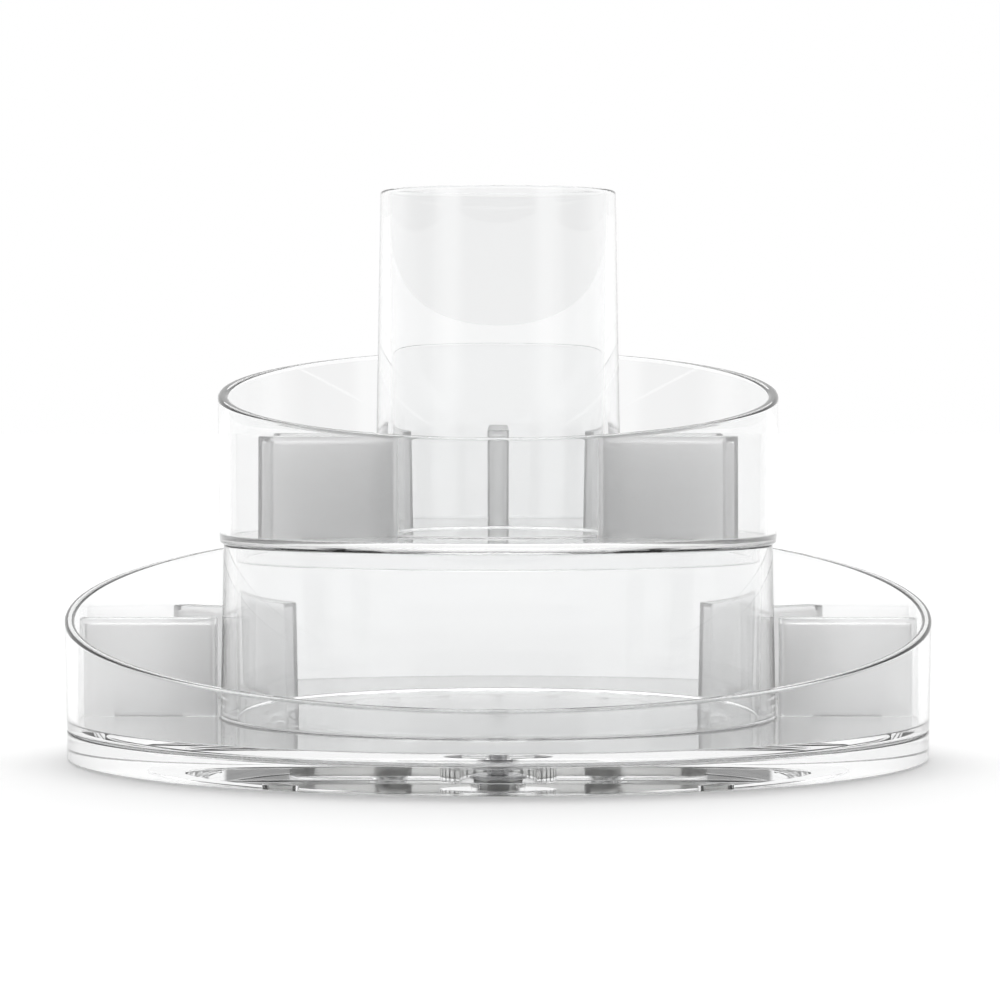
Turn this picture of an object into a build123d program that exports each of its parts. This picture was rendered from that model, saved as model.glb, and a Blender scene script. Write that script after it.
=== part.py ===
from build123d import *
import os
from math import cos, radians, sin, tan

# Clear three-tier rotating organizer for a bathroom counter or a dressing table.
# A round tray spins on a solid base plate, on a ring of steel balls round a centre pin.
# A riser drum is bonded to the tray, and a smaller tray with a tall cup bonded to its floor sits on the drum.
# Both trays have rims cut on a slant, low at the front and high at the back, and hollow dividers.
# Millimetres, +Z up, front towards -Y. The origin is on the spin axis, at the resting surface.

# Clearances
seat_gap = 0.05
bearing_clearance = 0.05
ball_clearance = 0.05
ball_pocket_clearance = 0.25
cage_clearance = 0.4
divider_end_gap = 0.5
cleat_clearance = 0.25
hub_clearance = 0.9
end_float = 0.1

# Feet
foot_protrusion = 0.8
foot_recess = 0.8
foot_radius = 6.0
foot_inset = 17.0
foot_count = 6
foot_edge_round = 0.3

# Base plate
base_radius = 149.0
base_thickness = 9.3
base_edge_round = 0.4
spin_gap = 0.7

# Rotating tray
tray_floor = 2.9
tray_side_height = 40.2
tray_flare = 0.8
tray_wall_at_floor = 3.4
tray_wall_at_rim = 3.3
tray_rim_round = 1.1
tray_edge_round = 0.4
rim_tilt = 9.0
root_round = 0.4

# Ball race, half in the base plate and half in the tray
race_radius = 77.0
race_width = 9.0
tray_race_depth = 0.8
ball_radius = 3.175
ball_count = 24
cage_thickness = 3.2
cage_lift = 0.3

# Centre pin
hub_radius = 12.7
hub_recess_depth = 1.8
hub_gap = 0.5
pin_head_radius = 5.0
pin_head_height = 1.7
pin_head_sink = 0.1
pin_head_clearance = 0.2
pin_shank_radius = 3.0
pin_thread_radius = 2.0
thread_clearance = 0.02
pin_tip = 0.3
bushing_radius = 6.4
bushing_flange_radius = 8.5
bushing_flange = 0.8
under_recess_radius = 13.6
under_recess_depth = 5.0
washer_radius = 10.0
washer_thickness = 1.0
nut_across_flats = 7.0
nut_height = 2.4

# Riser drum
riser_height = 59.9
riser_foot_radius = 96.3
riser_taper = 1.1
riser_wall_at_foot = 5.5
riser_wall_at_top = 3.8
riser_edge_round = 0.4

# Upper tray
upper_overhang = 1.4
upper_floor = 3.2
upper_side_height = 52.8
upper_flare = 0.6
upper_wall = 3.5
upper_rim_round = 1.1
upper_edge_round = 1.3
skirt_gap = 0.45
skirt_wall = 2.5
skirt_depth = 5.7
skirt_edge_round = 0.5

# Brush cup
cup_height = 119.2
cup_foot_radius = 42.9
cup_rim_radius = 40.85
cup_wall_at_foot = 6.7
cup_wall_at_rim = 2.95
cup_rim_round = 1.0

# Dividers
divider_thickness = 8.5
lower_divider_height = 34.2
upper_divider_height = 34.6
divider_wall = 1.8
divider_corner_round = 1.0
divider_top_round = 0.6
cleat_length = 24.0
cleat_height = 2.0
lower_divider_angles = [0.0, 36.0, 144.0, 180.0]
upper_divider_angles = [30.0, 90.0, 150.0, 214.0, 326.0]

# Levels, worked out from the sizes above
base_bottom = foot_protrusion
base_top = base_bottom + base_thickness
tray_bottom = base_top + spin_gap
tray_floor_top = tray_bottom + tray_floor
race_ceiling = tray_bottom + tray_race_depth
ball_centre = race_ceiling - ball_clearance - ball_radius
race_floor = ball_centre - ball_radius - ball_clearance
hub_recess_floor = base_top - hub_recess_depth
hub_bottom = hub_recess_floor + hub_gap
under_recess_ceiling = base_bottom + under_recess_depth
flange_bottom = under_recess_ceiling - bushing_flange
washer_top = flange_bottom - end_float
washer_bottom = washer_top - washer_thickness
nut_bottom = washer_bottom - nut_height
pin_head_top = tray_floor_top - pin_head_sink
pin_head_bottom = pin_head_top - pin_head_height
riser_top = tray_floor_top + riser_height
upper_bottom = riser_top + seat_gap
upper_floor_top = upper_bottom + upper_floor
cup_rim = upper_floor_top + cup_height

# Radii, worked out from the sizes above
foot_circle_radius = base_radius - foot_inset
tray_radius = base_radius
tray_inner_radius = tray_radius - tray_wall_at_floor
riser_top_radius = riser_foot_radius - riser_taper
riser_bore_at_foot = riser_foot_radius - riser_wall_at_foot
riser_bore_at_top = riser_top_radius - riser_wall_at_top
skirt_radius = riser_bore_at_top - skirt_gap
upper_foot_radius = riser_top_radius + upper_overhang
upper_inner_radius = upper_foot_radius - upper_wall
upper_rim_radius = upper_foot_radius + upper_flare
race_inner = race_radius - race_width / 2
race_outer = race_radius + race_width / 2


def rim_plane(side_level):
    """The slanted plane that cuts a rim: at side_level over the axis, and higher towards the back."""
    slant = radians(rim_tilt)
    return Plane(origin=(0, 0, side_level), z_dir=(0, -sin(slant), cos(slant)))


def tray_blank(floor_low, floor_high, outer_low, outer_rim, inner_low, inner_rim, side_level):
    """A closed section of a tray, taller than its rim, with walls that flare out evenly."""
    top = side_level + 2 * outer_rim * tan(radians(rim_tilt))
    outer_rate = (outer_rim - outer_low) / (side_level - floor_low)
    inner_rate = (inner_rim - inner_low) / (side_level - floor_high)
    return [
        (0, floor_low),
        (outer_low, floor_low),
        (outer_low + outer_rate * (top - floor_low), top),
        (inner_low + inner_rate * (top - floor_high), top),
        (inner_low, floor_high),
        (0, floor_high),
    ]


def rim_edges(part, least_level):
    """The two long edges that the slanted cut leaves round a wall."""
    top_face = part.faces().filter_by(GeomType.PLANE).sort_by(Axis.Z)[-1]
    return [edge for edge in top_face.edges() if edge.center().Z > least_level]


def cleat_places(inner_radius, outer_radius, angles):
    """Where the low cleats stand that the hollow dividers drop over."""
    middle = (inner_radius + outer_radius) / 2
    return [
        Location((middle * cos(radians(a)), middle * sin(radians(a)), 0), (0, 0, a))
        for a in angles
    ]


def write(part, name):
    """Labels a finished piece and writes it to its own file."""
    part.label = name
    export_step(part, f"parts/{name}.step")


cleat_width = divider_thickness - 2 * divider_wall - 2 * cleat_clearance
lower_divider_inner = upper_rim_radius + divider_end_gap
lower_divider_outer = tray_inner_radius - divider_end_gap
upper_divider_inner = cup_foot_radius + divider_end_gap
upper_divider_outer = upper_inner_radius - divider_end_gap

os.makedirs("parts", exist_ok=True)

# Base plate: a solid disc with the race in its top and the pin's recesses at its centre
with BuildPart() as turntable_base:
    with BuildSketch(Plane.XY.offset(base_bottom)):
        Circle(base_radius)
    extrude(amount=base_thickness)
    fillet(turntable_base.edges().filter_by(GeomType.CIRCLE), base_edge_round)
    with BuildSketch(Plane.XY.offset(base_top)):
        Circle(race_outer)
        Circle(race_inner, mode=Mode.SUBTRACT)
    extrude(amount=race_floor - base_top, mode=Mode.SUBTRACT)
    with BuildSketch(Plane.XY.offset(base_top)):
        Circle(hub_radius + hub_clearance)
    extrude(amount=-hub_recess_depth, mode=Mode.SUBTRACT)
    with BuildSketch(Plane.XY.offset(base_bottom)):
        Circle(under_recess_radius)
    extrude(amount=under_recess_depth, mode=Mode.SUBTRACT)
    with BuildSketch(Plane.XY.offset(under_recess_ceiling)):
        Circle(bushing_radius)
    extrude(amount=base_thickness, mode=Mode.SUBTRACT)
    with BuildSketch(Plane.XY.offset(base_bottom)):
        with PolarLocations(foot_circle_radius, foot_count):
            Circle(foot_radius + seat_gap)
    extrude(amount=foot_recess + seat_gap, mode=Mode.SUBTRACT)
write(turntable_base.part, "turntable_base")

# Feet: clear silicone discs, half sunk in the underside
with BuildPart() as base_feet:
    with BuildSketch():
        with PolarLocations(foot_circle_radius, foot_count):
            Circle(foot_radius)
    extrude(amount=foot_protrusion + foot_recess)
    fillet(base_feet.faces().group_by(Axis.Z)[0].edges(), foot_edge_round)
write(base_feet.part, "base_feet")

# Bushing: a flanged sleeve in the base plate, in which the pin turns
with BuildPart() as pivot_bushing:
    with BuildSketch(Plane.XY.offset(flange_bottom)):
        Circle(bushing_flange_radius)
    extrude(amount=bushing_flange)
    with BuildSketch(Plane.XY.offset(under_recess_ceiling)):
        Circle(bushing_radius)
    extrude(amount=hub_recess_floor - under_recess_ceiling)
    with BuildSketch(Plane.XY.offset(flange_bottom)):
        Circle(pin_shank_radius + bearing_clearance)
    extrude(amount=base_thickness, mode=Mode.SUBTRACT)
write(pivot_bushing.part, "pivot_bushing")

# Balls: evenly spaced in the race
with BuildPart(Plane.XY.offset(ball_centre)) as bearing_balls:
    with PolarLocations(race_radius, ball_count):
        Sphere(ball_radius)
write(bearing_balls.part, "bearing_balls")

# Cage: the ring that keeps the balls apart
with BuildPart() as ball_cage:
    with BuildSketch(Plane.XY.offset(race_floor + cage_lift)):
        Circle(race_outer - cage_clearance)
        Circle(race_inner + cage_clearance, mode=Mode.SUBTRACT)
        with PolarLocations(race_radius, ball_count):
            Circle(ball_radius + ball_pocket_clearance, mode=Mode.SUBTRACT)
    extrude(amount=cage_thickness)
write(ball_cage.part, "ball_cage")

# Rotating tray: floor, flared wall with a slanted rim, hub, race and cleats
tray_side_level = tray_bottom + tray_side_height
tray_rim_radius = tray_radius + tray_flare
with BuildPart() as rotating_tray:
    with BuildSketch(Plane.XZ):
        with BuildLine():
            Polyline(
                *tray_blank(
                    tray_bottom,
                    tray_floor_top,
                    tray_radius,
                    tray_rim_radius,
                    tray_inner_radius,
                    tray_rim_radius - tray_wall_at_rim,
                    tray_side_level,
                ),
                close=True,
            )
        make_face()
    revolve(axis=Axis.Z)
    fillet(rotating_tray.edges().group_by(Axis.Z)[0], tray_edge_round)
    fillet(
        rotating_tray.edges().filter_by(GeomType.CIRCLE).filter_by_position(
            Axis.Z, tray_floor_top - seat_gap, tray_floor_top + seat_gap
        ),
        root_round,
    )
    split(bisect_by=rim_plane(tray_side_level), keep=Keep.BOTTOM)
    fillet(rim_edges(rotating_tray.part, tray_floor_top), tray_rim_round)
    with BuildSketch(Plane.XY.offset(hub_bottom)):
        Circle(hub_radius)
    extrude(amount=tray_bottom - hub_bottom)
    with BuildSketch(Plane.XY.offset(tray_bottom)):
        Circle(race_outer)
        Circle(race_inner, mode=Mode.SUBTRACT)
    extrude(amount=tray_race_depth, mode=Mode.SUBTRACT)
    with BuildSketch(Plane.XY.offset(pin_head_bottom)):
        Circle(pin_head_radius + pin_head_clearance)
    extrude(amount=tray_floor, mode=Mode.SUBTRACT)
    with BuildSketch(Plane.XY.offset(hub_bottom)):
        Circle(pin_shank_radius)
    extrude(amount=base_thickness, mode=Mode.SUBTRACT)
    with BuildSketch(Plane.XY.offset(tray_floor_top)):
        with Locations(*cleat_places(lower_divider_inner, lower_divider_outer, lower_divider_angles)):
            Rectangle(cleat_length, cleat_width)
    extrude(amount=cleat_height)
write(rotating_tray.part, "rotating_tray")

# Centre pin: head sunk in the tray floor, shank through the bushing, thinner threaded end
with BuildPart() as pivot_pin:
    with BuildSketch(Plane.XY.offset(pin_head_bottom)):
        Circle(pin_head_radius)
    extrude(amount=pin_head_height)
    with BuildSketch(Plane.XY.offset(washer_top)):
        Circle(pin_shank_radius)
    extrude(amount=pin_head_bottom - washer_top)
    with BuildSketch(Plane.XY.offset(nut_bottom - pin_tip)):
        Circle(pin_thread_radius)
    extrude(amount=washer_top - nut_bottom + pin_tip)
    fillet(pivot_pin.edges().group_by(Axis.Z)[-1], pin_tip)
write(pivot_pin.part, "pivot_pin")

# Washer: bears on the bushing's flange from below
with BuildPart() as thrust_washer:
    with BuildSketch(Plane.XY.offset(washer_bottom)):
        Circle(washer_radius)
        Circle(pin_thread_radius + thread_clearance, mode=Mode.SUBTRACT)
    extrude(amount=washer_thickness)
write(thrust_washer.part, "thrust_washer")

# Nut: a small hexagon nut on the pin's threaded end
with BuildPart() as pivot_nut:
    with BuildSketch(Plane.XY.offset(nut_bottom)):
        RegularPolygon(nut_across_flats / 2, 6, major_radius=False)
        Circle(pin_thread_radius + thread_clearance, mode=Mode.SUBTRACT)
    extrude(amount=nut_height)
write(pivot_nut.part, "pivot_nut")

# Riser drum: an open ring, bonded to the tray's floor, that narrows a little upwards
with BuildPart() as riser_drum:
    with BuildSketch(Plane.XZ):
        with BuildLine():
            Polyline(
                (riser_bore_at_foot, tray_floor_top),
                (riser_foot_radius, tray_floor_top),
                (riser_top_radius, riser_top),
                (riser_bore_at_top, riser_top),
                close=True,
            )
        make_face()
    revolve(axis=Axis.Z)
    fillet(riser_drum.edges().group_by(Axis.Z)[-1], riser_edge_round)
write(riser_drum.part, "riser_drum")

# Upper tray: like the lower one, with a skirt that locates inside the drum
upper_side_level = upper_bottom + upper_side_height
with BuildPart() as upper_tray:
    with BuildSketch(Plane.XZ):
        with BuildLine():
            Polyline(
                *tray_blank(
                    upper_bottom,
                    upper_floor_top,
                    upper_foot_radius,
                    upper_rim_radius,
                    upper_inner_radius,
                    upper_rim_radius - upper_wall,
                    upper_side_level,
                ),
                close=True,
            )
        make_face()
    revolve(axis=Axis.Z)
    fillet(upper_tray.edges().group_by(Axis.Z)[0], upper_edge_round)
    fillet(
        upper_tray.edges().filter_by(GeomType.CIRCLE).filter_by_position(
            Axis.Z, upper_floor_top - seat_gap, upper_floor_top + seat_gap
        ),
        root_round,
    )
    split(bisect_by=rim_plane(upper_side_level), keep=Keep.BOTTOM)
    fillet(rim_edges(upper_tray.part, upper_floor_top), upper_rim_round)
    with BuildSketch(Plane.XY.offset(upper_bottom - skirt_depth)):
        Circle(skirt_radius)
        Circle(skirt_radius - skirt_wall, mode=Mode.SUBTRACT)
    extrude(amount=skirt_depth)
    fillet(upper_tray.edges().group_by(Axis.Z)[0], skirt_edge_round)
    with BuildSketch(Plane.XY.offset(upper_floor_top)):
        with Locations(*cleat_places(upper_divider_inner, upper_divider_outer, upper_divider_angles)):
            Rectangle(cleat_length, cleat_width)
    extrude(amount=cleat_height)
write(upper_tray.part, "upper_tray")

# Brush cup: a tall tube whose wall thins towards the rim, bonded to the upper tray's floor
with BuildPart() as brush_cup:
    with BuildSketch(Plane.XZ):
        with BuildLine():
            Polyline(
                (cup_foot_radius - cup_wall_at_foot, upper_floor_top),
                (cup_foot_radius, upper_floor_top),
                (cup_rim_radius, cup_rim),
                (cup_rim_radius - cup_wall_at_rim, cup_rim),
                close=True,
            )
        make_face()
    revolve(axis=Axis.Z)
    fillet(brush_cup.edges().group_by(Axis.Z)[-1], cup_rim_round)
write(brush_cup.part, "brush_cup")


def divider(inner_radius, outer_radius, floor_level, height, angle):
    """A hollow divider, open below, with ends curved to suit the walls that it stands between."""
    seat = Plane.XY.offset(floor_level + seat_gap).rotated((0, 0, angle))
    with BuildPart() as blade:
        with BuildSketch(seat):
            Circle(outer_radius)
            Circle(inner_radius, mode=Mode.SUBTRACT)
            Rectangle(
                2 * outer_radius,
                divider_thickness,
                align=(Align.MIN, Align.CENTER),
                mode=Mode.INTERSECT,
            )
        extrude(amount=height)
        fillet(blade.edges().filter_by(Axis.Z), divider_corner_round)
        fillet(blade.faces().sort_by(Axis.Z)[-1].edges(), divider_top_round)
        with BuildSketch(seat):
            Circle(outer_radius - divider_wall)
            Circle(inner_radius + divider_wall, mode=Mode.SUBTRACT)
            Rectangle(
                2 * outer_radius,
                divider_thickness - 2 * divider_wall,
                align=(Align.MIN, Align.CENTER),
                mode=Mode.INTERSECT,
            )
        extrude(amount=height - divider_wall, mode=Mode.SUBTRACT)
    return blade.part


# Dividers: four round the lower tray and five round the upper one
for number, angle in enumerate(lower_divider_angles, start=1):
    write(
        divider(lower_divider_inner, lower_divider_outer, tray_floor_top, lower_divider_height, angle),
        f"lower_divider_{number}",
    )
for number, angle in enumerate(upper_divider_angles, start=1):
    write(
        divider(upper_divider_inner, upper_divider_outer, upper_floor_top, upper_divider_height, angle),
        f"upper_divider_{number}",
    )
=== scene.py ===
import math

import bmesh
import bpy
from mathutils import Matrix, Vector


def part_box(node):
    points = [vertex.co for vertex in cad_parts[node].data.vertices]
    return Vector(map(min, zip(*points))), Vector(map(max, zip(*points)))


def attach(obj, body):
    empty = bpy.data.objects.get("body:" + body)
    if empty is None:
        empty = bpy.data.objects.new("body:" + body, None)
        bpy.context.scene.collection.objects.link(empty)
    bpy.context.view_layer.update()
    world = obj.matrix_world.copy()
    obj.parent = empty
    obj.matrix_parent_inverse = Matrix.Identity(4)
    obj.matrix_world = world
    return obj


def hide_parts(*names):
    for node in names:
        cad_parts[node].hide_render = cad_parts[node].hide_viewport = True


# Looks of the clear rotating organizer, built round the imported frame.
# The pieces are worked out in millimetres and become metres where their meshes are made.
# The floor and the camera are in metres.

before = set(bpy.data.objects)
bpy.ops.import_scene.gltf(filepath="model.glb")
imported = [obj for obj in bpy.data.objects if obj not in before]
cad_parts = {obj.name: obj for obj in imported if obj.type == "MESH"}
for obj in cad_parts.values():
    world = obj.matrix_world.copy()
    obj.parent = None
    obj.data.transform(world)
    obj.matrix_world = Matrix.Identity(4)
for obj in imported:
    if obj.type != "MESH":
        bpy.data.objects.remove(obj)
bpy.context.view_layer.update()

MM = 0.001
TURN = 2 * math.pi

# Fineness of the meshes: points round each kind of turned form, and steps in a rounded corner
AROUND = 256
HEXAGON_AROUND = 192
WASHER_AROUND = 96
FOOT_AROUND = 64
FILLET_STEPS = 4
ON_AXIS = 1e-6

# How far the extra points beside a rounded corner lie from it, and where shading turns sharp
SUPPORT = 0.3
SHARP = math.radians(30)


def span(node):
    """Lowest and highest corner of a CAD node, in millimetres."""
    low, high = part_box(node)
    return low / MM, high / MM


# Sizes read from the frame
base_low, base_high = span("turntable_base")
feet_low, feet_high = span("base_feet")
bushing_low, bushing_high = span("pivot_bushing")
tray_low, _ = span("rotating_tray")
riser_low, riser_high = span("riser_drum")
cup_low, cup_high = span("brush_cup")
pin_low, pin_high = span("pivot_pin")
washer_low, washer_high = span("thrust_washer")
nut_low, nut_high = span("pivot_nut")
lower_blade_low, lower_blade_high = span("lower_divider_1")
upper_blade_low, upper_blade_high = span("upper_divider_2")

# Clearances
seat_gap = 0.05
hub_clearance = 0.9

# Base plate and race
base_edge_round = 0.4
spin_gap = 0.7
race_radius = 77.0
race_width = 9.0
race_depth_below = 4.95
race_depth_above = 0.8
race_round = 0.5
race_lip_round = 0.15
race_ceiling_round = 0.2
hub_radius = 12.7
hub_root_round = 0.2
hub_end_round = 0.3
recess_lip_round = 0.3
recess_root_round = 0.2
under_recess_radius = 13.6
bushing_flange = 0.8
bushing_radius = 6.4

# Pin, washer and nut. The pin's socket side and dome are points, in from the side and down from the top.
pin_bore_radius = 3.05
pin_head_height = 1.7
pin_head_pocket_radius = 5.2
pocket_lip_round = 0.2
pin_shank_radius = 3.0
pin_chamfer = 0.2
pin_end_chamfer = 0.3
socket_flats = 3.0
socket_depth = 0.9
socket_side = ((0.3, 0.9), (0.1, 0.8), (0.0, 0.1), (-0.12, 0.0))
head_dome = ((1.4, 0.05), (0.5, 0.3), (0.0, 0.8))
thread_radius = 2.0
thread_grooves = 5
thread_pitch = 0.55
thread_start = 0.4
groove_depth = 0.25
groove_half_width = 0.12
thread_clearance = 0.02
washer_bore_round = 0.1
washer_rim_round = 0.25
nut_flats = 7.0
nut_face_radius = 3.3
nut_chamfer_slope = math.tan(math.radians(30))
nut_least_drop = 0.02
nut_bore_chamfer = 0.2

# Feet
foot_count = 6
foot_circle_radius = 132.0
foot_radius = 6.0
foot_edge_round = 0.3
foot_top_round = 0.15
sole_hollow_radius = 3.0
sole_hollow_slope = 0.4
sole_hollow_depth = 0.15
sole_hollow_round = 0.2
pocket_cut_past = 1.0

# Trays
rim_slope = math.tan(math.radians(9.0))
root_round = 0.4
tray_side_height = 40.2
tray_flare = 0.8
tray_wall_at_floor = 3.4
tray_wall_at_rim = 3.3
tray_rim_round = 1.1
tray_edge_round = 0.4
upper_side_height = 52.8
upper_flare = 0.6
upper_wall = 3.5
upper_foot_radius = 96.6
upper_rim_round = 1.1
upper_edge_round = 1.8
skirt_radius = 90.95
skirt_wall = 2.5
skirt_depth = 5.7
skirt_root_round = 0.15
skirt_inner_root_round = 0.3
skirt_end_round = 0.5

# Drum and cup
drum_wall_at_foot = 5.5
drum_wall_at_top = 3.8
drum_taper = 1.1
drum_edge_round = 0.4
cup_rim_radius = 40.85
cup_wall_at_foot = 6.7
cup_wall_at_rim = 2.95
cup_rim_round = 1.0
bond_round = 0.5

# Dividers
blade_thickness = 8.5
blade_wall = 1.8
blade_corner_round = 1.0
blade_least_corner = 0.25
blade_top_round = 0.6
blade_cavity_round = 0.5
blade_end_gap = 0.5
cleat_length = 24.0
cleat_width = 4.4
cleat_height = 2.0
cleat_sunk = 1.0
cleat_round = 0.35
cleat_round_steps = 3
lower_angles = [0.0, 36.0, 144.0, 180.0]
upper_angles = [30.0, 90.0, 150.0, 214.0, 326.0]

# Levels and radii that follow from them
base_radius = base_high.x
base_bottom = base_low.z
base_top = base_high.z
race_inner = race_radius - race_width / 2
race_outer = race_radius + race_width / 2
tray_bottom = base_top + spin_gap
tray_floor_top = riser_low.z
hub_bottom = tray_low.z
hub_recess_floor = bushing_high.z
under_ceiling = bushing_low.z + bushing_flange
pin_head_bottom = pin_high.z - pin_head_height
tray_inner_radius = base_radius - tray_wall_at_floor
drum_radius = riser_high.x
upper_bottom = riser_high.z + seat_gap
upper_floor_top = cup_low.z
cup_radius = cup_high.x


# Mesh helpers

def rounded(corners, radii):
    """The closed outline through these corners, each rounded by its radius.

    A rounded corner also gets a point a little way along each straight side, which keeps
    the shading of the flat faces flat.
    """
    count = len(corners)
    points = [Vector(c) for c in corners]
    setback = []
    for i, radius in enumerate(radii):
        before = (points[i - 1] - points[i]).normalized()
        after = (points[(i + 1) % count] - points[i]).normalized()
        half = before.angle(after) / 2
        setback.append(radius / math.tan(half) if radius else 0.0)
    outline = []
    for i, radius in enumerate(radii):
        corner, d = points[i], setback[i]
        if not radius:
            outline.append(corner.copy())
            continue
        to_before = points[i - 1] - corner
        to_after = points[(i + 1) % count] - corner
        room_before = to_before.length - d - setback[i - 1]
        room_after = to_after.length - d - setback[(i + 1) % count]
        to_before.normalize()
        to_after.normalize()
        middle = (to_before + to_after).normalized()
        centre = corner + middle * (radius / math.sin(to_before.angle(to_after) / 2))
        start = corner + to_before * d
        end = corner + to_after * d
        outline.append(start + to_before * min(SUPPORT, room_before / 3))
        first = start - centre
        sweep = first.angle_signed(end - centre)
        for k in range(FILLET_STEPS + 1):
            turned = first.copy()
            turned.rotate(Matrix.Rotation(-sweep * k / FILLET_STEPS, 2))
            outline.append(centre + turned)
        outline.append(end + to_after * min(SUPPORT, room_after / 3))
    return outline


def finish_mesh(name, bm, material, sharp=SHARP):
    """Turns the faces outward, shades them smooth up to a sharp angle, and makes the object."""
    bmesh.ops.recalc_face_normals(bm, faces=bm.faces)
    mesh = bpy.data.meshes.new(name)
    bm.to_mesh(mesh)
    bm.free()
    mesh.polygons.foreach_set("use_smooth", [True] * len(mesh.polygons))
    mesh.set_sharp_from_angle(angle=sharp)
    mesh.materials.append(material)
    piece = bpy.data.objects.new(name, mesh)
    bpy.context.scene.collection.objects.link(piece)
    return piece


def add_lathe(bm, outline_at, centre=(0.0, 0.0), around=AROUND, is_open=False):
    """Adds a turned form whose outline, as (radius, height) points, may change with the angle."""
    rings = []
    for k in range(around):
        angle = TURN * k / around
        ring = []
        for j, (r, z) in enumerate(outline_at(angle)):
            if r < ON_AXIS:
                if k == 0:
                    ring.append(bm.verts.new((centre[0] * MM, centre[1] * MM, z * MM)))
                else:
                    ring.append(rings[0][j])
                continue
            x = centre[0] + r * math.cos(angle)
            y = centre[1] + r * math.sin(angle)
            ring.append(bm.verts.new((x * MM, y * MM, z * MM)))
        rings.append(ring)
    size = len(rings[0])
    steps = [(j, (j + 1) % size) for j in range(size - 1 if is_open else size)]
    for k in range(around):
        here, there = rings[k], rings[(k + 1) % around]
        for a, b in steps:
            corners = [here[a], there[a], there[b], here[b]]
            face = [v for i, v in enumerate(corners) if v not in corners[:i]]
            if len(face) > 2:
                bm.faces.new(face)


def lathe(name, outline_at, material, **how):
    """Makes a piece of one turned form."""
    bm = bmesh.new()
    add_lathe(bm, outline_at, **how)
    return finish_mesh(name, bm, material)


def combine(piece, tool, operation):
    """Joins or cuts a piece with a second mesh, and drops the second one."""
    modifier = piece.modifiers.new("combine", "BOOLEAN")
    modifier.operation = operation
    modifier.solver = "EXACT"
    modifier.object = tool
    graph = bpy.context.evaluated_depsgraph_get()
    mesh = bpy.data.meshes.new_from_object(piece.evaluated_get(graph))
    piece.modifiers.clear()
    piece.data = mesh
    mesh.name = piece.name
    mesh.set_sharp_from_angle(angle=SHARP)
    bpy.data.objects.remove(tool)


def slanted_wall(foot, rim_radius, foot_level, side_level, angle):
    """Where a flared wall meets the slanted rim plane: (radius, height) at this angle round."""
    rate = (rim_radius - foot) / (side_level - foot_level)
    rise = rim_slope * math.sin(angle)
    height = (side_level + rise * (foot - rate * foot_level)) / (1 - rise * rate)
    return foot + rate * (height - foot_level), height


def cleats(name, middle_radius, floor_level, angles, material):
    """The low ribs on a tray's floor that the hollow dividers drop over."""
    bm = bmesh.new()
    for angle in angles:
        made = bmesh.ops.create_cube(bm, size=1.0)["verts"]
        size = Matrix.Diagonal((cleat_length, cleat_width, cleat_height + cleat_sunk, 1))
        lift = floor_level + (cleat_height - cleat_sunk) / 2
        place = Matrix.Translation((middle_radius, 0, lift))
        turn = Matrix.Rotation(math.radians(angle), 4, "Z")
        bmesh.ops.transform(bm, matrix=Matrix.Scale(MM, 4) @ turn @ place @ size, verts=made)
        top = [
            e
            for e in {e for v in made for e in v.link_edges}
            if not all(v.co.z < floor_level * MM for v in e.verts)
        ]
        bmesh.ops.bevel(
            bm, geom=top, offset=cleat_round * MM, segments=cleat_round_steps, affect="EDGES"
        )
    return finish_mesh(name, bm, material)


def blade_plan(inner, outer, inset):
    """The divider's plan, seen from above along +X, moved inwards by the inset."""
    corner = max(blade_corner_round - inset, blade_least_corner)
    side = blade_thickness / 2 - inset
    near, far = inner + inset, outer - inset
    steps = FILLET_STEPS
    half = []
    far_x = math.sqrt((far - corner) ** 2 - (side - corner) ** 2)
    far_angle = math.atan2(side - corner, far_x)
    for k in range(steps):
        a = far_angle * k / steps
        half.append((far * math.cos(a), far * math.sin(a)))
    for k in range(steps + 1):
        a = far_angle + (math.pi / 2 - far_angle) * k / steps
        half.append((far_x + corner * math.cos(a), side - corner + corner * math.sin(a)))
    near_x = math.sqrt((near + corner) ** 2 - (side - corner) ** 2)
    near_angle = math.atan2(side - corner, near_x)
    half.append((far_x - SUPPORT, side))
    half.append((near_x + SUPPORT, side))
    for k in range(steps + 1):
        a = math.pi / 2 + (math.pi / 2 + near_angle) * k / steps
        half.append((near_x + corner * math.cos(a), side - corner + corner * math.sin(a)))
    for k in range(1, steps):
        a = near_angle * (1 - k / steps)
        half.append((near * math.cos(a), near * math.sin(a)))
    half.append((near, 0.0))
    other = [(x, -y) for x, y in reversed(half[1:-1])]
    return half + other


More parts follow.
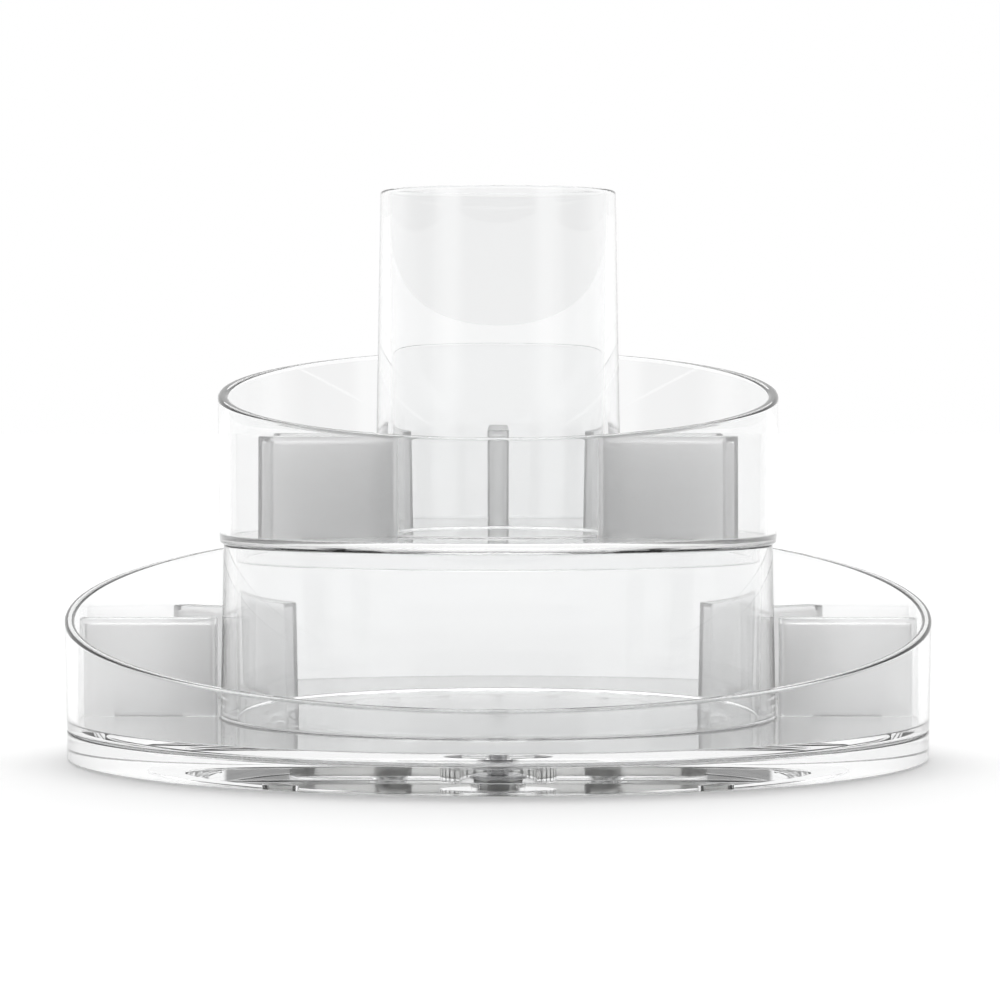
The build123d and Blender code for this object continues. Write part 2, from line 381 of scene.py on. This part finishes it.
def blade(name, inner, outer, bottom, top, angle, material):
    """A hollow divider, open below, on its place round the axis."""
    quarter = math.pi / 2
    layers = [(blade_wall, bottom), (0.0, bottom), (0.0, top - blade_top_round - SUPPORT)]
    for k in range(FILLET_STEPS + 1):
        a = quarter * k / FILLET_STEPS
        inset = blade_top_round * (1 - math.cos(a))
        layers.append((inset, top - blade_top_round * (1 - math.sin(a))))
    layers.append((blade_top_round + SUPPORT, top))
    ceiling = top - blade_wall
    cavity = [(blade_wall, ceiling - blade_cavity_round - SUPPORT)]
    for k in range(FILLET_STEPS + 1):
        a = quarter * k / FILLET_STEPS
        inset = blade_wall + blade_cavity_round * (1 - math.cos(a))
        cavity.append((inset, ceiling - blade_cavity_round * (1 - math.sin(a))))
    cavity.append((blade_wall + blade_cavity_round + SUPPORT, ceiling))
    bm = bmesh.new()

    def loop(inset, z):
        return [bm.verts.new((x * MM, y * MM, z * MM)) for x, y in blade_plan(inner, outer, inset)]

    def skin(a, b):
        for i in range(len(a)):
            j = (i + 1) % len(a)
            bm.faces.new((a[i], a[j], b[j], b[i]))

    loops = [loop(*layer) for layer in layers]
    for a, b in zip(loops, loops[1:]):
        skin(a, b)
    bm.faces.new(loops[-1])
    inside = [loops[0]] + [loop(*layer) for layer in cavity]
    for a, b in zip(inside, inside[1:]):
        skin(a, b)
    bm.faces.new(inside[-1])
    turn = Matrix.Rotation(math.radians(angle), 3, "Z")
    bmesh.ops.rotate(bm, cent=(0, 0, 0), matrix=turn, verts=bm.verts)
    return finish_mesh(name, bm, material)


def dress(piece, body, slot, *nodes):
    """The piece rides on its body and stands for these CAD nodes; the slot is not used."""
    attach(piece, body)
    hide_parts(*nodes)
    return piece


# Materials. Noise scales are in cycles per metre, and bump depths in millimetres.

def shader(name):
    """A new material with its Principled shader, and object coordinates to drive its detail."""
    material = bpy.data.materials.new(name)
    material.use_nodes = True
    tree = material.node_tree
    coords = tree.nodes.new("ShaderNodeTexCoord")
    return material, tree, tree.nodes["Principled BSDF"], coords.outputs["Object"]


def noise(tree, coords, scale, detail=3.0, stretch=None):
    """A noise field over the object, its coordinates stretched first where a stretch is given."""
    if stretch:
        mapping = tree.nodes.new("ShaderNodeMapping")
        mapping.inputs["Scale"].default_value = stretch
        tree.links.new(coords, mapping.inputs["Vector"])
        coords = mapping.outputs["Vector"]
    node = tree.nodes.new("ShaderNodeTexNoise")
    node.inputs["Scale"].default_value = scale
    node.inputs["Detail"].default_value = detail
    tree.links.new(coords, node.inputs["Vector"])
    return node.outputs["Fac"]


def between(tree, field, low, high, edge_low=0.35, edge_high=0.65):
    """Maps the middle of a noise field to a range of values."""
    node = tree.nodes.new("ShaderNodeMapRange")
    node.inputs["From Min"].default_value = edge_low
    node.inputs["From Max"].default_value = edge_high
    node.inputs["To Min"].default_value = low
    node.inputs["To Max"].default_value = high
    tree.links.new(field, node.inputs["Value"])
    return node.outputs["Result"]


def blend_colours(tree, field, first, second):
    """Blends two colours by a field."""
    node = tree.nodes.new("ShaderNodeMix")
    node.data_type = "RGBA"
    colours = [s for s in node.inputs if s.type == "RGBA"]
    colours[0].default_value = (*first, 1)
    colours[1].default_value = (*second, 1)
    tree.links.new(field, node.inputs["Factor"])
    return [s for s in node.outputs if s.type == "RGBA"][0]


def bump(tree, bsdf, field, strength, depth):
    """Tilts the shader's normal by the slopes of a field."""
    node = tree.nodes.new("ShaderNodeBump")
    node.inputs["Strength"].default_value = strength
    node.inputs["Distance"].default_value = depth * MM
    tree.links.new(field, node.inputs["Height"])
    tree.links.new(node.outputs["Normal"], bsdf.inputs["Normal"])


def glassy(bsdf, ior, transmission):
    """Lets light through the shader, bent by this index and in this share."""
    bsdf.inputs["IOR"].default_value = ior
    bsdf.inputs["Transmission Weight"].default_value = transmission


def paint(tree, bsdf, colour_field, colours, roughness_field, roughness):
    """Drives the shader's colour and roughness by two noise fields, each between two values."""
    tree.links.new(blend_colours(tree, colour_field, *colours), bsdf.inputs["Base Color"])
    tree.links.new(between(tree, roughness_field, *roughness), bsdf.inputs["Roughness"])


def clear_plastic(name, tints, haze, wave):
    """Moulded clear plastic: a trace of haze, and the slow waviness of a polished mould."""
    material, tree, bsdf, coords = shader(name)
    glassy(bsdf, ior=1.49, transmission=1.0)
    slow = noise(tree, coords, scale=9.0, detail=2.0)
    fine = noise(tree, coords, scale=420.0, detail=4.0)
    paint(tree, bsdf, slow, tints, fine, haze)
    bump(tree, bsdf, slow, strength=wave, depth=1.0)
    return material


def silicone(name):
    """Soft translucent silicone with a satin skin."""
    material, tree, bsdf, coords = shader(name)
    glassy(bsdf, ior=1.41, transmission=0.85)
    tints = (0.93, 0.93, 0.92), (0.86, 0.86, 0.85)
    satin = 0.28, 0.42
    fine = noise(tree, coords, scale=900.0, detail=5.0)
    paint(tree, bsdf, fine, tints, fine, satin)
    bump(tree, bsdf, fine, strength=0.25, depth=0.05)
    return material


def bearing_plastic(name):
    """Milky moulded bearing plastic with a fine satin grain."""
    material, tree, bsdf, coords = shader(name)
    glassy(bsdf, ior=1.3, transmission=0.86)
    tints = (0.94, 0.94, 0.93), (0.9, 0.9, 0.89)
    satin = 0.4, 0.5
    slow = noise(tree, coords, scale=60.0, detail=3.0)
    grain = noise(tree, coords, scale=2400.0, detail=4.0)
    paint(tree, bsdf, slow, tints, grain, satin)
    bump(tree, bsdf, grain, strength=0.2, depth=0.03)
    return material


def bright_steel(name, tints, stretch):
    """Bright steel with fine machining marks, finer along the directions that are stretched."""
    material, tree, bsdf, coords = shader(name)
    bsdf.inputs["Metallic"].default_value = 1.0
    brightness = 0.16, 0.32
    marks = noise(tree, coords, scale=260.0, detail=5.0, stretch=stretch)
    cloud = noise(tree, coords, scale=90.0, detail=2.0)
    paint(tree, bsdf, cloud, tints, marks, brightness)
    bump(tree, bsdf, marks, strength=0.15, depth=0.02)
    return material


shell_clear = clear_plastic(
    "clear_shell",
    tints=((0.955, 0.957, 0.957), (0.94, 0.943, 0.944)),
    haze=(0.0, 0.012),
    wave=0.02,
)
blade_clear = clear_plastic(
    "clear_divider",
    tints=((0.995, 0.995, 0.995), (0.985, 0.985, 0.985)),
    haze=(0.31, 0.37),
    wave=0.03,
)
foot_silicone = silicone("clear_silicone")
white_plastic = bearing_plastic("white_bearing_plastic")
steel_turned = bright_steel(
    "steel_turned",
    tints=((0.62, 0.62, 0.63), (0.5, 0.5, 0.51)),
    stretch=(1.0, 1.0, 8.0),
)
steel_ball = bright_steel(
    "steel_ball",
    tints=((0.95, 0.95, 0.95), (0.9, 0.9, 0.9)),
    stretch=(1.0, 1.0, 1.0),
)


# Pieces

def base_outline(angle):
    """The base plate: a plain disc with the race and the hub's recess above, and a recess below."""
    corners = [
        (bushing_radius, hub_recess_floor),
        (hub_radius + hub_clearance, hub_recess_floor),
        (hub_radius + hub_clearance, base_top),
        (race_inner, base_top),
        (race_inner, base_top - race_depth_below),
        (race_outer, base_top - race_depth_below),
        (race_outer, base_top),
        (base_radius, base_top),
        (base_radius, base_bottom),
        (under_recess_radius, base_bottom),
        (under_recess_radius, under_ceiling),
        (bushing_radius, under_ceiling),
    ]
    radii = [
        0, recess_root_round, recess_lip_round,
        recess_lip_round, race_round, race_round, recess_lip_round,
        base_edge_round, base_edge_round,
        recess_lip_round, recess_root_round, 0,
    ]
    return rounded(corners, radii)


def foot_places():
    """The middle of each foot, on a circle round the axis."""
    for k in range(foot_count):
        angle = TURN * k / foot_count
        yield foot_circle_radius * math.cos(angle), foot_circle_radius * math.sin(angle)


def foot_pockets(name, material):
    """The shallow pockets in the plate's underside that hold the feet."""
    wall = foot_radius + seat_gap
    ceiling = feet_high.z + seat_gap
    below = base_bottom - pocket_cut_past
    outline = [(0, ceiling), (wall, ceiling), (wall, below), (0, below)]
    bm = bmesh.new()
    for place in foot_places():
        add_lathe(bm, lambda angle: outline, centre=place, around=FOOT_AROUND, is_open=True)
    return finish_mesh(name, bm, material)


def foot_outline(angle):
    """A disc with a rounded lower edge and a shallow round hollow in its sole."""
    hollow = feet_low.z + sole_hollow_depth
    corners = [
        (0, hollow),
        (sole_hollow_radius - sole_hollow_slope, hollow),
        (sole_hollow_radius, feet_low.z),
        (foot_radius, feet_low.z),
        (foot_radius, feet_high.z),
        (0, feet_high.z),
    ]
    radii = [0, sole_hollow_round, sole_hollow_round, foot_edge_round, foot_top_round, 0]
    return rounded(corners, radii)


def tray_outline(angle):
    """The lower tray with the drum, whose wall is bonded to the tray's floor without a seam."""
    side = tray_bottom + tray_side_height
    outer = slanted_wall(base_radius, base_radius + tray_flare, tray_bottom, side, angle)
    inner_rim = base_radius + tray_flare - tray_wall_at_rim
    inner = slanted_wall(tray_inner_radius, inner_rim, tray_floor_top, side, angle)
    corners = [
        (pin_head_pocket_radius, tray_floor_top),
        (drum_radius - drum_wall_at_foot, tray_floor_top),
        (drum_radius - drum_taper - drum_wall_at_top, riser_high.z),
        (drum_radius - drum_taper, riser_high.z),
        (drum_radius, tray_floor_top),
        (tray_inner_radius, tray_floor_top),
        inner,
        outer,
        (base_radius, tray_bottom),
        (race_outer, tray_bottom),
        (race_outer, tray_bottom + race_depth_above),
        (race_inner, tray_bottom + race_depth_above),
        (race_inner, tray_bottom),
        (hub_radius, tray_bottom),
        (hub_radius, hub_bottom),
        (pin_bore_radius, hub_bottom),
        (pin_bore_radius, pin_head_bottom),
        (pin_head_pocket_radius, pin_head_bottom),
    ]
    radii = [
        pocket_lip_round, bond_round, drum_edge_round, drum_edge_round, bond_round,
        root_round, tray_rim_round, tray_rim_round, tray_edge_round,
        race_lip_round, race_ceiling_round, race_ceiling_round, race_lip_round,
        hub_root_round, hub_end_round, 0, 0, 0,
    ]
    return rounded(corners, radii)


def upper_outline(angle):
    """The upper tray with the cup, whose wall is bonded to the tray's floor without a seam."""
    side = upper_bottom + upper_side_height
    rim = upper_foot_radius + upper_flare
    inner_foot = upper_foot_radius - upper_wall
    outer = slanted_wall(upper_foot_radius, rim, upper_bottom, side, angle)
    inner = slanted_wall(inner_foot, rim - upper_wall, upper_floor_top, side, angle)
    corners = [
        (0, upper_floor_top),
        (cup_radius - cup_wall_at_foot, upper_floor_top),
        (cup_rim_radius - cup_wall_at_rim, cup_high.z),
        (cup_rim_radius, cup_high.z),
        (cup_radius, upper_floor_top),
        (inner_foot, upper_floor_top),
        inner,
        outer,
        (upper_foot_radius, upper_bottom),
        (skirt_radius, upper_bottom),
        (skirt_radius, upper_bottom - skirt_depth),
        (skirt_radius - skirt_wall, upper_bottom - skirt_depth),
        (skirt_radius - skirt_wall, upper_bottom),
        (0, upper_bottom),
    ]
    radii = [
        0, bond_round, cup_rim_round, cup_rim_round, bond_round,
        root_round, upper_rim_round, upper_rim_round, upper_edge_round,
        skirt_root_round, skirt_end_round, skirt_end_round, skirt_inner_root_round, 0,
    ]
    return rounded(corners, radii)


def hexagon(across_flats, angle):
    """The distance from the middle of a hexagon to its side at this angle."""
    side_turn = TURN / 6
    return across_flats / 2 / math.cos(angle % side_turn - side_turn / 2)


def pin_outline(angle):
    """A turned pin: low domed head with a hexagon socket, plain shank, grooved threaded end."""
    head, top = pin_high.x, pin_high.z
    socket = hexagon(socket_flats, angle)
    shank, shank_end = pin_shank_radius, washer_high.z
    points = [(0, top - socket_depth)]
    points += [(socket - inward, top - down) for inward, down in socket_side]
    points += [(head - inward, top - down) for inward, down in head_dome]
    points += [(head, pin_head_bottom + pin_chamfer), (head - pin_chamfer, pin_head_bottom)]
    points += [(shank, pin_head_bottom), (shank, shank_end + pin_chamfer)]
    points += [(shank - pin_chamfer, shank_end), (thread_radius, shank_end)]
    for k in range(thread_grooves):
        level = shank_end - thread_start - k * thread_pitch
        points.append((thread_radius, level + groove_half_width))
        points.append((thread_radius - groove_depth, level))
        points.append((thread_radius, level - groove_half_width))
    points.append((thread_radius, pin_low.z + pin_end_chamfer))
    points += [(thread_radius - pin_end_chamfer, pin_low.z), (0, pin_low.z)]
    return points


def washer_outline(angle):
    """A flat washer with broken edges."""
    bore = thread_radius + thread_clearance
    corners = [
        (bore, washer_low.z),
        (washer_high.x, washer_low.z),
        (washer_high.x, washer_high.z),
        (bore, washer_high.z),
    ]
    return rounded(corners, [washer_bore_round, washer_rim_round, washer_rim_round, washer_bore_round])


def nut_outline(angle):
    """A hexagon nut whose corners are cut by a low cone at both faces."""
    bore = thread_radius + thread_clearance
    side = hexagon(nut_flats, angle)
    drop = max(side - nut_face_radius, nut_least_drop) * nut_chamfer_slope
    return [
        (bore + nut_bore_chamfer, nut_high.z),
        (nut_face_radius, nut_high.z),
        (side, nut_high.z - drop),
        (side, nut_low.z + drop),
        (nut_face_radius, nut_low.z),
        (bore + nut_bore_chamfer, nut_low.z),
        (bore, nut_low.z + nut_bore_chamfer),
        (bore, nut_high.z - nut_bore_chamfer),
    ]


base_plate = lathe("base_plate", base_outline, shell_clear)
combine(base_plate, foot_pockets("foot_pockets", shell_clear), "DIFFERENCE")
dress(base_plate, "base", "clear_shell", "turntable_base")

feet_mesh = bmesh.new()
for place in foot_places():
    add_lathe(feet_mesh, foot_outline, centre=place, around=FOOT_AROUND, is_open=True)
dress(finish_mesh("foot_discs", feet_mesh, foot_silicone), "base", "clear_silicone", "base_feet")

lower_inner = upper_foot_radius + upper_flare + blade_end_gap
lower_outer = tray_inner_radius - blade_end_gap
upper_inner = cup_radius + blade_end_gap
upper_outer = upper_foot_radius - upper_wall - blade_end_gap

tray_shell = lathe("tray_shell", tray_outline, shell_clear)
combine(
    tray_shell,
    cleats("lower_cleats", (lower_inner + lower_outer) / 2, tray_floor_top, lower_angles, shell_clear),
    "UNION",
)
dress(tray_shell, "tray", "clear_shell", "rotating_tray", "riser_drum")

upper_shell = lathe("upper_shell", upper_outline, shell_clear, is_open=True)
combine(
    upper_shell,
    cleats("upper_cleats", (upper_inner + upper_outer) / 2, upper_floor_top, upper_angles, shell_clear),
    "UNION",
)
dress(upper_shell, "upper", "clear_shell", "upper_tray", "brush_cup")

for number, angle in enumerate(lower_angles, start=1):
    node = f"lower_divider_{number}"
    piece = blade(
        f"lower_blade_{number}", lower_inner, lower_outer,
        lower_blade_low.z, lower_blade_high.z, angle, blade_clear,
    )
    dress(piece, node, "clear_divider", node)
for number, angle in enumerate(upper_angles, start=1):
    node = f"upper_divider_{number}"
    piece = blade(
        f"upper_blade_{number}", upper_inner, upper_outer,
        upper_blade_low.z, upper_blade_high.z, angle, blade_clear,
    )
    dress(piece, node, "clear_divider", node)

pin_piece = lathe("turned_pin", pin_outline, steel_turned, around=HEXAGON_AROUND, is_open=True)
dress(pin_piece, "tray", "steel", "pivot_pin")
washer_piece = lathe("washer_disc", washer_outline, steel_turned, around=WASHER_AROUND)
dress(washer_piece, "tray", "steel", "thrust_washer")
nut_piece = lathe("hexagon_nut", nut_outline, steel_turned, around=HEXAGON_AROUND)
dress(nut_piece, "tray", "steel", "pivot_nut")

# The bushing, the cage and the balls show as their CAD nodes, in these materials
for node, material in [
    ("pivot_bushing", white_plastic),
    ("ball_cage", white_plastic),
    ("bearing_balls", steel_ball),
]:
    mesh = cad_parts[node].data
    mesh.materials.clear()
    mesh.materials.append(material)


# Floor, light and camera

def maths(tree, operation, first, second=None):
    """A Math node's result from one socket, or from two, or from a socket and a number."""
    node = tree.nodes.new("ShaderNodeMath")
    node.operation = operation
    tree.links.new(first, node.inputs[0])
    if isinstance(second, float):
        node.inputs[1].default_value = second
    elif second is not None:
        tree.links.new(second, node.inputs[1])
    return node.outputs[0]


def grey_ramp(tree, field, greys):
    """Greys over a field that runs from 0 to 1, given as (position, grey) in rising order."""
    ramp = tree.nodes.new("ShaderNodeValToRGB")
    tree.links.new(field, ramp.inputs["Fac"])
    stops = ramp.color_ramp.elements
    first, *middle, last = greys
    for stop, (position, grey) in zip(stops, (first, last)):
        stop.position = position
        stop.color = (grey, grey, grey, 1)
    for position, grey in middle:
        stops.new(position).color = (grey, grey, grey, 1)
    return ramp.outputs["Color"]


def seen_in_glass(tree):
    """1 for what the camera sees, straight, in gloss or through clear plastic, and 0 for other light."""
    path = tree.nodes.new("ShaderNodeLightPath")
    seen = path.outputs["Is Camera Ray"]
    for name in ("Is Glossy Ray", "Is Transmission Ray"):
        seen = maths(tree, "MAXIMUM", seen, path.outputs[name])
    return seen


def pale_floor_paint():
    """A matt pale floor that glows a little, so that it shows white but lights nothing."""
    floor_grey = 0.9
    floor_glow = 0.31
    paint = bpy.data.materials.new("pale_floor")
    paint.use_nodes = True
    tree = paint.node_tree
    tree.nodes.clear()
    matt = tree.nodes.new("ShaderNodeBsdfDiffuse")
    matt.inputs["Color"].default_value = (floor_grey, floor_grey, floor_grey, 1)
    glow = tree.nodes.new("ShaderNodeEmission")
    tree.links.new(maths(tree, "MULTIPLY", seen_in_glass(tree), floor_glow), glow.inputs["Strength"])
    both = tree.nodes.new("ShaderNodeAddShader")
    tree.links.new(matt.outputs[0], both.inputs[0])
    tree.links.new(glow.outputs[0], both.inputs[1])
    output = tree.nodes.new("ShaderNodeOutputMaterial")
    tree.links.new(both.outputs[0], output.inputs["Surface"])
    return paint


floor_half = 12.0
corner_signs = ((-1, -1), (1, -1), (1, 1), (-1, 1))
floor_mesh = bpy.data.meshes.new("studio_floor")
floor_corners = [(x * floor_half, y * floor_half, 0) for x, y in corner_signs]
floor_mesh.from_pydata(floor_corners, [], [(0, 1, 2, 3)])
studio_floor = bpy.data.objects.new("studio_floor", floor_mesh)
bpy.context.scene.collection.objects.link(studio_floor)
floor_mesh.materials.append(pale_floor_paint())

# The studio is white at the back, greyer overhead and in front, where two tall windows stand.
# Overhead greys go by height, from 0 at the horizon to 1 straight up.
# Wall greys go by bearing, in degrees to either side of straight in front.
ceiling_grey = 0.5
front_grey = 0.3
overhead_greys = ((0.0, 1.0), (0.25, 1.0), (0.8, ceiling_grey), (0.9, ceiling_grey), (1.0, 1.0))
window_greys = ((36, front_grey), (42, 1.0), (62, 1.0), (68, front_grey))
wall_greys = ((0, front_grey), *window_greys, (95, front_grey), (112, 1.0), (180, 1.0))

world = bpy.data.worlds.new("soft_studio")
bpy.context.scene.world = world
world.use_nodes = True
tree = world.node_tree
tree.nodes.clear()
coords = tree.nodes.new("ShaderNodeTexCoord")
split = tree.nodes.new("ShaderNodeSeparateXYZ")
tree.links.new(coords.outputs["Generated"], split.inputs[0])
overhead = grey_ramp(tree, split.outputs["Z"], overhead_greys)
forward = maths(tree, "MULTIPLY", split.outputs["Y"], -1.0)
bearing = maths(tree, "ARCTAN2", split.outputs["X"], forward)
half_turns = maths(tree, "DIVIDE", maths(tree, "ABSOLUTE", bearing), math.pi)
walls = grey_ramp(tree, half_turns, [(degrees / 180, grey) for degrees, grey in wall_greys])
room = maths(tree, "MULTIPLY", overhead, walls)
path = tree.nodes.new("ShaderNodeLightPath")
sky = tree.nodes.new("ShaderNodeBackground")
sky.inputs["Color"].default_value = (1, 1, 1, 1)
tree.links.new(maths(tree, "MAXIMUM", room, path.outputs["Is Camera Ray"]), sky.inputs["Strength"])
output = tree.nodes.new("ShaderNodeOutputWorld")
tree.links.new(sky.outputs[0], output.inputs["Surface"])

# One wide soft light, from behind and above, its angles in degrees
light_elevation = 50.0
light_width = 60.0
light_power = 1.5
light = bpy.data.lights.new("back_softlight", "SUN")
light.angle = math.radians(light_width)
light.energy = light_power
lamp = bpy.data.objects.new("back_softlight", light)
lamp.rotation_euler = (math.radians(light_elevation - 90), 0, 0)
bpy.context.scene.collection.objects.link(lamp)

# A level camera in front, placed and shifted to match the photograph's perspective
camera_distance = 1.3647
camera_height = 0.1243
camera_data = bpy.data.cameras.new("camera")
camera_data.sensor_width = 36.0
camera_data.lens = 141.4
camera_data.shift_x = 0.00184
camera_data.shift_y = -0.1023
camera = bpy.data.objects.new("camera", camera_data)
camera.location = (0.0, -camera_distance, camera_height)
camera.rotation_euler = (math.radians(90), 0, 0)
bpy.context.scene.collection.objects.link(camera)
bpy.context.scene.camera = camera

# Light passes many clear walls on its way, so it needs many bounces
clear_bounces = 32
scene = bpy.context.scene
scene.view_settings.view_transform = "Standard"
scene.cycles.max_bounces = clear_bounces
scene.cycles.transmission_bounces = clear_bounces
scene.cycles.glossy_bounces = 12
scene.cycles.transparent_max_bounces = clear_bounces
